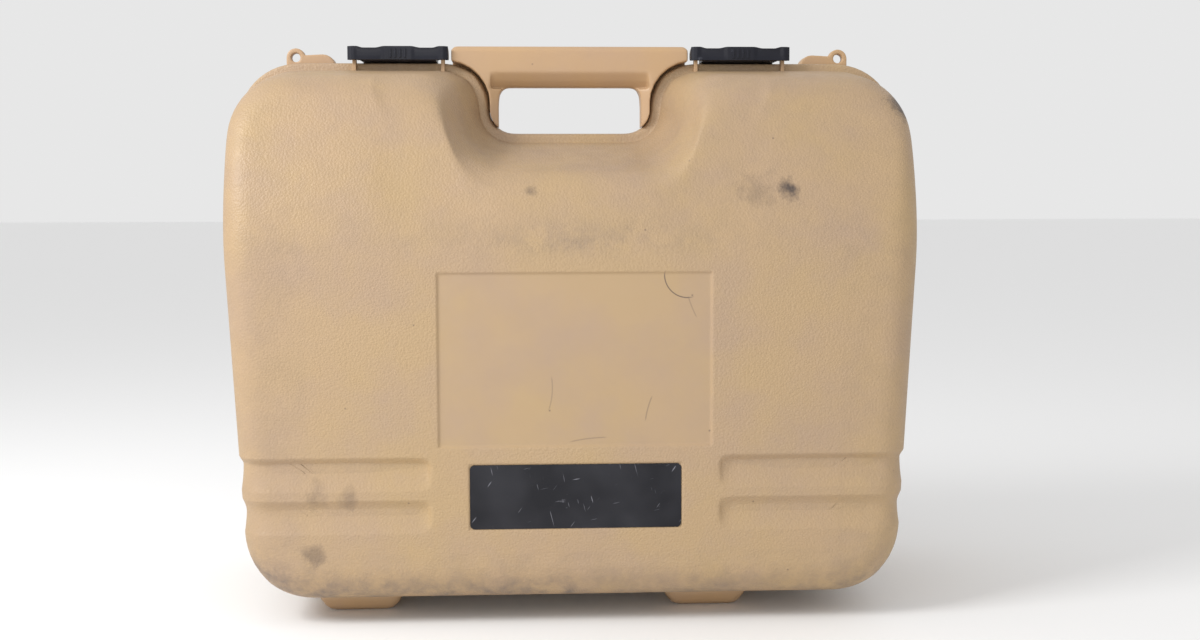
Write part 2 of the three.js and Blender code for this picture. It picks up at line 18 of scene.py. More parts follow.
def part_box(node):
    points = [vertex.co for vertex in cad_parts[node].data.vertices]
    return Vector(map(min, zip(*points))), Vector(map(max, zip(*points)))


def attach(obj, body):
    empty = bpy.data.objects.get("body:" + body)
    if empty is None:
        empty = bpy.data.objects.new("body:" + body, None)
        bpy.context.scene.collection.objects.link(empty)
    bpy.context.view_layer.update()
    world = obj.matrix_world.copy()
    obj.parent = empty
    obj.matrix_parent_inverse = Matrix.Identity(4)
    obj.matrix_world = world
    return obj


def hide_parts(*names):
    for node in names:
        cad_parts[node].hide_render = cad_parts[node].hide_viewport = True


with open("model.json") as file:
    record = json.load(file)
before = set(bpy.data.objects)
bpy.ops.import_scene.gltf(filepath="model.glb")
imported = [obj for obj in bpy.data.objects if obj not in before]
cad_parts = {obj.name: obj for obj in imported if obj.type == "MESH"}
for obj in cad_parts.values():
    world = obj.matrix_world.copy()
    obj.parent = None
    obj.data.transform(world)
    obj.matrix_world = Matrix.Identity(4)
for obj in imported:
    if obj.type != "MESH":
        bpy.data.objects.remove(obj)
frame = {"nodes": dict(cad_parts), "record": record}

MM = 0.001
log = logging.getLogger("carrying_case")

Point = tuple[float, float, float]
Flat = tuple[float, float]
Material = bpy.types.Material
Socket = bpy.types.NodeSocket
Piece = bpy.types.Object
Mesh = bmesh.types.BMesh
Vert = bmesh.types.BMVert


# ---------------------------------------------------------------- small sums


def mm(*lengths: float) -> tuple[float, ...]:
    """Returns lengths in millimetres as metres."""
    return tuple(length * MM for length in lengths)


LATCH_CENTRE = 120.5 * MM
LATCH_PIVOT = mm(-8, 381.8)
HINGE_CENTRE = 118 * MM


def lerp(a: float, b: float, share: float) -> float:
    """Returns the value a share of the way from a to b."""
    return a + (b - a) * share


def smooth(share: float) -> float:
    """Returns an eased share, level at 0 and at 1."""
    t = min(max(share, 0.0), 1.0)
    return t * t * (3.0 - 2.0 * t)


def ramp(value: float, reach: float) -> float:
    """Bends smoothly from level to rising.

    Args:
        value: where on the bend.
        reach: half the bend's width.

    Returns:
        0 for a low value, the value itself for a high one.
    """
    if value <= -reach:
        return 0.0
    if value >= reach:
        return value
    return (value + reach) ** 2 / (4.0 * reach)


def around(centre: Flat, radius: float, degrees: float) -> Flat:
    """Returns the point of a circle at an angle from its first axis."""
    angle = math.radians(degrees)
    return centre[0] + radius * math.cos(angle), centre[1] + radius * math.sin(angle)


def linear_colour(hex_colour: str) -> tuple[float, float, float, float]:
    """Turns an sRGB colour into a linear one.

    Args:
        hex_colour: the colour, as #rrggbb.

    Returns:
        Red, green, blue and full alpha.
    """
    channels = [int(hex_colour[i : i + 2], 16) / 255.0 for i in (1, 3, 5)]
    linear = [c / 12.92 if c <= 0.04045 else ((c + 0.055) / 1.055) ** 2.4 for c in channels]
    return linear[0], linear[1], linear[2], 1.0


# ---------------------------------------------------------------- finishes


def add_node(tree: bpy.types.NodeTree, kind: str, values: dict) -> bpy.types.Node:
    """Adds a shader node with its settings and links.

    Args:
        tree: the material's node tree.
        kind: the node's type.
        values: what each property or input gets, by name or input number; an output socket is linked.

    Returns:
        The new node.
    """
    node = tree.nodes.new(kind)
    for name, value in values.items():
        if isinstance(value, Socket):
            tree.links.new(value, node.inputs[name])
        elif isinstance(name, str) and hasattr(node, name):
            setattr(node, name, value)
        else:
            node.inputs[name].default_value = value
    return node


@dataclass(frozen=True)
class Smudge:
    """A dark rub or stain at one place.

    Attributes:
        place: its middle.
        radius: how far it reaches.
        strength: how dark it is at its middle, from 0 to 1.
    """

    place: Point
    radius: float
    strength: float


@dataclass(frozen=True)
class PenMark:
    """A thin dark scratch or pen stroke: a broken arc on an upright face.

    Attributes:
        centre: the arc's centre.
        radius: the arc's radius.
        strength: how dark it is, from 0 to 1.
        reach: how far the stroke runs from its middle.
        middle: the stroke's middle.
        width: half the stroke's width.
    """

    centre: Point
    radius: float
    strength: float
    middle: Point
    reach: float
    width: float = 0.55 * MM


class Finish:
    """A procedural finish in the making: it opens a material, adds its nodes and closes it with a shader."""

    def __init__(self, name: str) -> None:
        """Opens an empty material with coordinates in the piece's own frame.

        Args:
            name: the material's name.
        """
        self.material = bpy.data.materials.new(name)
        self.material.use_nodes = True
        self.tree = self.material.node_tree
        self.tree.nodes.clear()
        self.here = self.node("ShaderNodeTexCoord", {}).outputs["Object"]

    def node(self, kind: str, values: dict) -> bpy.types.Node:
        """Adds a node to this finish; see add_node."""
        return add_node(self.tree, kind, values)

    def noise(self, size: float, detail: float = 2.0, roughness: float = 0.55) -> Socket:
        """Returns a soft noise whose patches are about size across."""
        values = {"Scale": 1.0 / size, "Detail": detail, "Roughness": roughness, "Vector": self.here}
        return self.node("ShaderNodeTexNoise", values).outputs["Fac"]

    def cells(self, size: float) -> Socket:
        """Returns the distance to the nearest of scattered points about size apart, in units of size."""
        values = {"Scale": 1.0 / size, "Randomness": 1.0, "Vector": self.here}
        return self.node("ShaderNodeTexVoronoi", values).outputs["Distance"]

    def distance(self, place: Point) -> Socket:
        """Returns the distance from a place."""
        values = {"operation": "DISTANCE", 0: self.here, 1: place}
        return self.node("ShaderNodeVectorMath", values).outputs["Value"]

    def ranged(
        self, value: Socket, low: float, high: float, to_low: float = 0.0, to_high: float = 1.0
    ) -> Socket:
        """Returns a value brought from one range to another, and kept inside it."""
        values = {"From Min": low, "From Max": high, "To Min": to_low, "To Max": to_high, "Value": value}
        return self.node("ShaderNodeMapRange", values).outputs["Result"]

    def tinted(self, colour: Socket | str, tint: str, share: Socket) -> Socket:
        """Returns a colour mixed towards a tint by a share."""
        first = linear_colour(colour) if isinstance(colour, str) else colour
        values = {"data_type": "RGBA", 0: share, 6: first, 7: linear_colour(tint)}
        return self.node("ShaderNodeMix", values).outputs[2]

    def combined(self, operation: str, *values: Socket | float) -> Socket:
        """Returns a sum, product, maximum or other combination of values."""
        return self.node("ShaderNodeMath", {"operation": operation, **dict(enumerate(values))}).outputs[0]

    def raised(
        self, height: Socket, distance: float, strength: Socket | float, invert: bool = False
    ) -> Socket:
        """Returns the surface's normal, bumped by a height."""
        values = {"Distance": distance, "invert": invert, "Strength": strength, "Height": height}
        return self.node("ShaderNodeBump", values).outputs["Normal"]

    def finished(self, values: dict) -> Material:
        """Closes the finish with its shader.

        Args:
            values: the shader's constants and sockets.

        Returns:
            The material.
        """
        shader = self.node("ShaderNodeBsdfPrincipled", values)
        self.node("ShaderNodeOutputMaterial", {"Surface": shader.outputs["BSDF"]})
        return self.material


@dataclass(frozen=True)
class MouldedPlastic:
    """Injection-moulded plastic, coloured through and matt, with or without a leather grain.

    Attributes:
        name: the material's name.
        base: the plastic's own colour.
        warm: the yellower tone that it has aged to in patches.
        rosy: the greyer, pinker tone of handled patches.
        scuff: the colour of rubbed-in dirt.
        grain: distance between the grain's pebbles, or 0 for a smooth mould.
        grain_height: how far the pebbles stand up.
        roughness: the surface's mean roughness.
        smudges: stains at known places.
        marks: thin curved scratches at known places.
        patch: size of the patches of tone.
        speck: mean distance between specks of dirt.
    """

    name: str
    base: str
    warm: str
    rosy: str
    scuff: str
    grain: float
    grain_height: float
    roughness: float
    smudges: tuple[Smudge, ...] = ()
    marks: tuple[PenMark, ...] = ()
    patch: float = 75 * MM
    speck: float = 26 * MM
    dirt: str = "#4d423d"

    def build(self) -> Material:
        """Builds the material, which reads the attributes wear and polished.

        Returns:
            The material.
        """
        finish = Finish(self.name)
        broken = finish.noise(15 * MM, detail=5.0, roughness=0.7)
        warm = finish.ranged(finish.noise(self.patch), 0.35, 0.7, 0.0, 0.8)
        colour = finish.tinted(self.base, self.warm, warm)
        rosy = finish.ranged(finish.noise(self.patch * 0.6, detail=4.0), 0.42, 0.75, 0.0, 0.8)
        colour = finish.tinted(colour, self.rosy, rosy)
        wear = finish.node("ShaderNodeAttribute", {"attribute_name": "wear"}).outputs["Fac"]
        rubbed = finish.combined("MULTIPLY", wear, finish.ranged(broken, 0.4, 0.72))
        colour = finish.tinted(colour, self.scuff, rubbed)
        speck = finish.ranged(finish.cells(self.speck), 0.012, 0.035, 0.6, 0.0)
        colour = finish.tinted(colour, self.dirt, self._stains(finish, broken, speck))
        polished = finish.node("ShaderNodeAttribute", {"attribute_name": "polished"}).outputs["Fac"]
        if self.grain:
            height = finish.cells(self.grain)
            strength = finish.ranged(polished, 0.0, 1.0, 1.0, 0.05)
            normal = finish.raised(height, self.grain_height, strength, invert=True)
        else:
            normal = finish.raised(broken, self.grain_height, 0.4)
        rough = finish.ranged(broken, 0.25, 0.75, self.roughness - 0.07, self.roughness + 0.09)
        return finish.finished({"IOR": 1.5, "Base Color": colour, "Roughness": rough, "Normal": normal})

    def _stains(self, finish: Finish, broken: Socket, speck: Socket) -> Socket:
        """Adds the ragged stains and strokes to the specks of dirt.

        Args:
            finish: the finish being built.
            broken: a noise that makes edges ragged.
            speck: how much dirt the specks are.

        Returns:
            How much dirt there is.
        """
        dirt = speck
        for smudge in self.smudges:
            distance = finish.distance(smudge.place)
            spread = finish.combined("MULTIPLY_ADD", broken, -2.0 * smudge.radius, distance)
            share = finish.ranged(spread, -0.75 * smudge.radius, -0.1 * smudge.radius, smudge.strength, 0.0)
            dirt = finish.combined("MAXIMUM", dirt, share)
        for mark in self.marks:
            dirt = finish.combined("MAXIMUM", dirt, self._stroke(finish, mark))
        return dirt

    def _stroke(self, finish: Finish, mark: PenMark) -> Socket:
        """Draws one stroke.

        Args:
            finish: the finish being built.
            mark: the stroke.

        Returns:
            How dark it is at each point.
        """
        away, along = finish.distance(mark.centre), finish.distance(mark.middle)
        offset = finish.combined("ABSOLUTE", finish.combined("SUBTRACT", away, mark.radius))
        line = finish.ranged(offset, 0.4 * mark.width, mark.width, mark.strength, 0.0)
        fading = finish.ranged(along, 0.75 * mark.reach, mark.reach, 1.0, 0.0)
        return finish.combined("MULTIPLY", line, fading)


@dataclass(frozen=True)
class ScratchedDark:
    """A dark hard surface, moulded or lacquered, with pale scratches and rubs.

    Attributes:
        name: the material's name.
        base: the colour of the sound surface.
        scratch: the colour of the scratches.
        roughness: the surface's mean roughness.
        amount: how much of the surface is scratched, from 0 to 1.
        width: width of the widest scratches.
        turns: the scratches' angles from upright, in degrees.
        mirror: how strongly the surface mirrors; plastic has 0.5, and worn dark parts mirror less.
        stretch: how long the scratches are, by axis, against their width.
    """

    name: str
    base: str
    scratch: str
    roughness: float
    amount: float
    width: float
    turns: tuple[float, ...]
    mirror: float = 0.25
    stretch: Point = (1.0, 5.0, 13.0)

    def build(self) -> Material:
        """Builds the material.

        Returns:
            The material.
        """
        finish = Finish(self.name)
        cloud = finish.noise(14 * MM, detail=4.0, roughness=0.65)
        share = finish.ranged(cloud, 0.70 - 0.05 * self.amount, 0.76, 0.0, 0.35)
        for turn in self.turns:
            placing = {"vector_type": "TEXTURE", "Rotation": (0.0, math.radians(turn), 0.0)}
            placing |= {"Scale": self.stretch, "Vector": finish.here}
            turned = finish.node("ShaderNodeMapping", placing).outputs["Vector"]
            noise = {"Scale": 1.0 / self.width, "Detail": 1.0, "Vector": turned}
            lines = finish.node("ShaderNodeTexNoise", noise).outputs["Fac"]
            scratches = finish.ranged(lines, 0.75 - 0.05 * self.amount, 0.79, 0.0, 0.6)
            share = finish.combined("MAXIMUM", share, scratches)
        haze = finish.ranged(finish.noise(40 * MM), 0.35, 0.75, 0.0, 0.05)
        share = finish.combined("MAXIMUM", share, haze)
        colour = finish.tinted(self.base, self.scratch, share)
        rough = finish.ranged(share, 0.0, 0.6, self.roughness, self.roughness + 0.3)
        normal = finish.raised(cloud, 0.15 * MM, 0.3)
        shine = {"IOR": 1.5, "Specular IOR Level": self.mirror}
        return finish.finished({**shine, "Base Color": colour, "Roughness": rough, "Normal": normal})


@dataclass(frozen=True)
class ZincPlate:
    """Bright zinc-plated steel: a dull silver with a faint crystalline mottle."""

    name: str = "zinc_plated_steel"
    tint: str = "#b9babd"
    shade: str = "#96979b"

    def build(self) -> Material:
        """Builds the material.

        Returns:
            The material.
        """
        finish = Finish(self.name)
        mottle = finish.noise(1.5 * MM, detail=3.0)
        colour = finish.tinted(self.tint, self.shade, mottle)
        rough = finish.ranged(mottle, 0.3, 0.7, 0.28, 0.48)
        return finish.finished({"Metallic": 1.0, "Base Color": colour, "Roughness": rough})


@dataclass(frozen=True)
class CellFoam:
    """Closed-cell polyethylene foam, cut: dark grey, very matt, with open half cells on the cut faces, whose
    pits are given painted shade.
    """

    name: str = "cut_closed_cell_foam"
    base: str = "#4a4b50"
    # painted shade: the darker colour laid into the open cells' pits, where shade falls
    pit_shade: str = "#27282b"
    cell: float = 2.2 * MM  # real cells are about 1 mm: drawn coarser so that they show

    def build(self) -> Material:
        """Builds the material.

        Returns:
            The material.
        """
        finish = Finish(self.name)
        cells = finish.cells(self.cell)
        dusty = finish.ranged(finish.noise(45 * MM, detail=3.0), 0.35, 0.75, 0.0, 0.35)
        # Painted shade: the colour darkens towards each cell's middle, where the bump below makes a pit.
        colour = finish.tinted(self.base, self.pit_shade, finish.ranged(cells, 0.6, 0.1))
        colour = finish.tinted(colour, "#5c5a57", dusty)
        normal = finish.raised(cells, 0.4 * MM, 0.6)
        return finish.finished({"Roughness": 0.95, "Base Color": colour, "Normal": normal})


# ---------------------------------------------------------------- mesh helpers


def as_object(name: str, mesh: Mesh, material: Material) -> Piece:
    """Turns a bmesh into a smooth-shaded object at the origin, with its normals outwards.

    Args:
        name: the object's name.
        mesh: the finished bmesh.
        material: the piece's material.

    Returns:
        The object.
    """
    bmesh.ops.remove_doubles(mesh, verts=mesh.verts, dist=0.01 * MM)
    bmesh.ops.recalc_face_normals(mesh, faces=mesh.faces)
    data = bpy.data.meshes.new(name)
    mesh.to_mesh(data)
    mesh.free()
    data.polygons.foreach_set("use_smooth", [True] * len(data.polygons))
    data.materials.append(material)
    piece = bpy.data.objects.new(name, data)
    bpy.context.scene.collection.objects.link(piece)
    return piece


def finish_piece(piece: Piece, body: str, nodes: Iterable[str] = ()) -> None:
    """Puts a piece on its body and what it stands for, and logs it.

    Args:
        piece: the piece.
        body: the body it rides on.
        nodes: the CAD nodes it stands for.
    """
    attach(piece, body)
    nodes = tuple(nodes)
    if nodes:
        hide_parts(*nodes)
    count = len(piece.data.vertices)
    log.info("%s on %s: %d vertices, stands for %s", piece.name, body, count, nodes or "no node")


def round_edges(piece: Piece, width: float, segments: int = 3, angle: float = 35.0) -> None:
    """Adds a live bevel to the sharper edges.

    Args:
        piece: the piece.
        width: the bevel's width.
        segments: its steps.
        angle: the least angle that is bevelled, in degrees.
    """
    bevel = piece.modifiers.new("rounded_edges", "BEVEL")
    bevel.width = width
    bevel.segments = segments
    bevel.limit_method = "ANGLE"
    bevel.angle_limit = math.radians(angle)
    bevel.harden_normals = True


def bevel_edges(mesh: Mesh, edges: list[bmesh.types.BMEdge], reach: float) -> None:
    """Rounds edges of a mesh.

    Args:
        mesh: the mesh being built.
        edges: the edges.
        reach: the rounding's width.
    """
    bmesh.ops.bevel(
        mesh, geom=edges, offset=reach, offset_type="OFFSET", affect="EDGES", segments=6, profile=0.5,
        material=-1, clamp_overlap=True,
    )


def relax(mesh: Mesh, verts: Sequence[Vert], rounds: int) -> None:
    """Smooths vertices a number of times."""
    for _ in range(rounds):
        bmesh.ops.smooth_vert(
            mesh, verts=verts, factor=0.5, use_axis_x=True, use_axis_y=True, use_axis_z=True
        )


def add_prism(mesh: Mesh, outline: Sequence[Flat], start: float, width: float) -> None:
    """Adds a closed prism that runs along X.

    Args:
        mesh: the mesh being built.
        outline: Y and Z of its corners.
        start: the X it starts at.
        width: its length.
    """
    face = mesh.faces.new([mesh.verts.new((start, y, z)) for y, z in outline])
    made = bmesh.ops.extrude_face_region(mesh, geom=[face], use_keep_orig=True)["geom"]
    bmesh.ops.translate(mesh, verts=[v for v in made if isinstance(v, Vert)], vec=(width, 0.0, 0.0))


def add_box(mesh: Mesh, low: Point, high: Point) -> None:
    """Adds an upright box.

    Args:
        mesh: the mesh being built.
        low: its low corner.
        high: its high corner.
    """
    verts = bmesh.ops.create_cube(mesh, size=1.0)["verts"]
    bmesh.ops.scale(mesh, verts=verts, vec=Vector(high) - Vector(low))
    bmesh.ops.translate(mesh, verts=verts, vec=(Vector(high) + Vector(low)) / 2.0)


def soften_node(
    name: str, node: str, voxel: float, rounds: int, material: Material,
    reshape: Callable[[Vector], Vector] | None = None,
) -> Piece:
    """Makes a fine, soft-edged piece from a copy of a node's solid.

    Args:
        name: the piece's name.
        node: the node whose solid is copied.
        voxel: spacing of the fine mesh.
        rounds: smoothing passes, which round the edges.
        material: the piece's material.
        reshape: moves each point of the fine mesh before the smoothing.

    Returns:
        The piece.
    """
    mesh = bmesh.new()
    mesh.from_mesh(frame["nodes"][node].data)
    piece = as_object(name, mesh, material)
    remesh = piece.modifiers.new("fine", "REMESH")
    remesh.mode = "VOXEL"
    remesh.voxel_size = voxel
    graph = bpy.context.evaluated_depsgraph_get()
    fine = bmesh.new()
    fine.from_object(piece, graph)
    bpy.data.objects.remove(piece)
    if reshape:
        for vertex in fine.verts:
            vertex.co = reshape(vertex.co)
    relax(fine, fine.verts, rounds)
    return as_object(name, fine, material)


# ---------------------------------------------------------------- the half shells


class Stretch(Enum):
    """The stretches of a half shell's outline, from the middle of the bottom to the middle of the notch."""

    BOTTOM = auto()
    BOTTOM_CORNER = auto()
    SIDE = auto()
    HIGH_SIDE = auto()
    TOP_CORNER = auto()
    TOP = auto()
    FLARE = auto()
    NOTCH_WALL = auto()
    NOTCH_CORNER = auto()
    NOTCH_FLOOR = auto()


@dataclass(frozen=True)
class Station:
    """One place on the outline, and the point of the face's middle field that it runs to.

    Attributes:
        stretch: the stretch of outline that it lies on.
        value: the share of the stretch passed, or the height on a side.
        inner: X and Z where its column meets the middle field.
        left: whether it lies on the left.
    """

    stretch: Stretch
    value: float
    inner: Flat
    left: bool


@dataclass(frozen=True)
class ShellForm:
    """The form of a half shell in the lid's place: walls, notch and face by depth and height."""

    half_depth: float = 110 * MM
    wall: float = 3 * MM
    top: float = 373 * MM
    top_slope: float = 0.165
    bottom: float = 14 * MM
    bottom_slope: float = 0.02
    ridge: float = 257 * MM
    ridge_half_width: float = 228 * MM
    side_slope: float = 0.0528
    draft: float = 2 * MM
    top_corner: float = 38 * MM
    bottom_corner: float = 44 * MM
    notch_half_width: float = 61.5 * MM
    notch_opening: float = 0.32
    notch_floor: float = 323.5 * MM
    notch_fall: float = 0.283
    notch_corner: float = 20.5 * MM
    notch_flare: float = 25.5 * MM
    lean_from: float = 275 * MM
    lean_reach: float = 40 * MM
    lean: float = 0.5
    high_side_from: float = 262 * MM
    rim_end: float = 8.5 * MM

    def face_depth(self, z: float) -> float:
        """Returns the face's depth at height z: flat, then leaning back over the ridge."""
        return self.half_depth - self.lean * ramp(z - self.lean_from, self.lean_reach)

    def half_width(self, z: float) -> float:
        """Returns the side wall's distance from the middle at height z, at the face."""
        return self.ridge_half_width - self.side_slope * ramp(self.ridge - z, 20 * MM)

    def outline(self, station: Station, depth: float, grow: float) -> Flat:
        """Finds a point of the case's outline.

        Args:
            station: the place on the outline.
            depth: distance from the parting plane.
            grow: how far the outline stands outside the wall.

        Returns:
            X and Z of the point.
        """
        x, z = self._right_outline(station.stretch, station.value, depth, grow)
        return (-x, z) if station.left else (x, z)

    def _right_outline(self, stretch: Stretch, value: float, depth: float, grow: float) -> Flat:
        """Finds an outline point on the right half.

        Args:
            stretch: the stretch of outline.
            value: the share passed, or the height on a side.
            depth: distance from the parting plane.
            grow: how far outside the wall.

        Returns:
            X and Z of the point.
        """
        draft = self.draft * (1.0 - depth / self.half_depth)
        top = self.top - self.top_slope * depth
        bottom = self.bottom + self.bottom_slope * depth
        low_centre = (self.half_width(58 * MM) + draft - self.bottom_corner, bottom + self.bottom_corner)
        high_centre = (self.ridge_half_width + draft - self.top_corner, top - self.top_corner)
        notch = self.notch_half_width + self.notch_opening * depth
        floor = self.notch_floor - self.notch_fall * depth
        flare = self.notch_flare + 0.05 * depth
        corner = self.notch_corner + 0.09 * depth
        if stretch is Stretch.BOTTOM:
            return low_centre[0] * value, bottom - grow
        if stretch is Stretch.BOTTOM_CORNER:
            return around(low_centre, self.bottom_corner + grow, -90.0 + 90.0 * value)
        if stretch is Stretch.SIDE:
            return self.half_width(value) + draft + grow, value
        if stretch is Stretch.HIGH_SIDE:
            height = lerp(self.high_side_from, high_centre[1], value)
            return self.half_width(height) + draft + grow, height
        if stretch is Stretch.TOP_CORNER:
            return around(high_centre, self.top_corner + grow, 90.0 * value)
        if stretch is Stretch.TOP:
            return lerp(high_centre[0], notch + flare, value), top + grow
        if stretch is Stretch.FLARE:
            return around((notch + flare, top - flare), flare + grow, 90.0 + 90.0 * value)
        if stretch is Stretch.NOTCH_WALL:
            return notch - grow, lerp(top - flare, floor + corner, value)
        if stretch is Stretch.NOTCH_CORNER:
            return around((notch - corner, floor + corner), corner - grow, -90.0 * value)
        return (notch - corner) * (1.0 - value), floor + grow

    def fillet(self, station: Station) -> Flat:
        """Finds the size of the rounding between wall and face.

        Args:
            station: the place on the outline.

        Returns:
            Its reach along the wall and along the face.
        """
        bottom, side, top = mm(25, 30), mm(20, 20), mm(22, 17)
        scoop, floor = mm(26, 17), mm(14, 14)
        reaches = {
            Stretch.BOTTOM: (bottom, bottom),
            Stretch.BOTTOM_CORNER: (bottom, side),
            Stretch.SIDE: (side, side),
            Stretch.HIGH_SIDE: (side, side),
            Stretch.TOP_CORNER: (side, top),
            Stretch.TOP: (top, top),
            Stretch.FLARE: (top, scoop),
            Stretch.NOTCH_WALL: (scoop, scoop),
            Stretch.NOTCH_CORNER: (scoop, floor),
            Stretch.NOTCH_FLOOR: (floor, floor),
        }
        start, end = reaches[station.stretch]
        share = smooth(station.value)
        return lerp(start[0], end[0], share), lerp(start[1], end[1], share)

    def column(self, station: Station, grow: float, start: float, steps: tuple[int, int, int]) -> list[tuple]:
        """Runs from the wall near the rim, over the rounded edge and along the face to the middle field.

        Args:
            station: the place on the outline.
            grow: how far the surface stands outside the outer one, negative for the inside.
            start: the depth that the column starts at.
            steps: how many steps the wall, the rounded edge and the face take.

        Returns:
            Pairs of a point and its share of face: 0 on the wall, 1 on the face.
        """
        near, far = start, self.half_depth + 5 * MM
        halvings = 28
        for _ in range(halvings):
            middle = (near + far) / 2.0
            height = self.outline(station, middle, grow)[1]
            if self.face_depth(height) + grow > middle:
                near = middle
            else:
                far = middle
        edge_depth = near
        edge = Vector(self.outline(station, edge_depth, grow))
        inner = Vector(station.inner)
        wall_reach, face_reach = self.fillet(station)
        wall_reach = min(wall_reach, (edge_depth - start) * 0.8)
        span = inner - edge
        face_reach = min(face_reach, span.length * 0.7)
        wall_end = edge_depth - wall_reach
        face_start = edge + span.normalized() * face_reach
        wall_steps, edge_steps, face_steps = steps
        rows = []
        for k in range(wall_steps + 1):
            depth = lerp(start, wall_end, k / wall_steps)
            x, z = self.outline(station, depth, grow)
            rows.append((Vector((x, -depth, z)), 0.0))
        begin = rows[-1][0]
        corner = Vector((edge.x, -edge_depth, edge.y))
        end = Vector((face_start.x, -(self.face_depth(face_start.y) + grow), face_start.y))
        handle = 0.58
        first, second = begin.lerp(corner, handle), end.lerp(corner, handle)
        for k in range(1, edge_steps):
            t = k / edge_steps
            s = 1.0 - t
            place = begin * s**3 + first * (3 * s * s * t) + second * (3 * s * t * t) + end * t**3
            rows.append((place, t))
        for k in range(face_steps):
            x, z = face_start.lerp(inner, k / face_steps)
            rows.append((Vector((x, -(self.face_depth(z) + grow), z)), 1.0))
        return rows


@dataclass(frozen=True)
class Recess:
    """A shallow rectangular recess in the face, centred in X."""

    half_width: float
    low: float
    high: float
    depth: float
    slope: float = 0.7 * MM

    def depth_at(self, x: float, z: float) -> float:
        """Returns the recess's depth at a point; its sides slope in over twice the slope's width."""
        inside = min(self.half_width - abs(x), z - self.low, self.high - z)
        return self.depth * min(max((inside + self.slope) / (2.0 * self.slope), 0.0), 1.0)


@dataclass(frozen=True)
class Grooves:
    """The two scalloped grooves at each lower corner, which run round onto the side walls."""

    deepest: tuple[float, float] = mm(108.2, 80.1)
    start: float = 93 * MM
    above: float = 5.5 * MM
    below: float = 17 * MM
    face_depth: float = 3.6 * MM
    side_depth: float = 2.2 * MM
    fade: float = 12 * MM

    def depth_at(self, x: float, z: float, depth: float, face_share: float) -> float:
        """Returns how far the surface is pushed in.

        Args:
            x: the point's X.
            z: its height.
            depth: its distance from the parting plane.
            face_share: 0 on the wall, 1 on the face.

        Returns:
            The depth of the groove there.
        """
        for line in self.deepest:
            rise = z - line
            if not -self.below < rise < self.above:
                continue
            if rise >= 0.0:
                profile = smooth(1.0 - rise / self.above)
            else:
                profile = 1.0 - (-rise / self.below) ** 1.6
            middle = (self.above - self.below) / 2.0
            bow = (abs(rise - middle) / (self.above - middle)) ** 4
            along = smooth((abs(x) - self.start - 6 * MM * bow) / (5 * MM))
            fade = smooth((depth - 12 * MM) / self.fade)
            return profile * along * fade * lerp(self.side_depth, self.face_depth, face_share)
        return 0.0


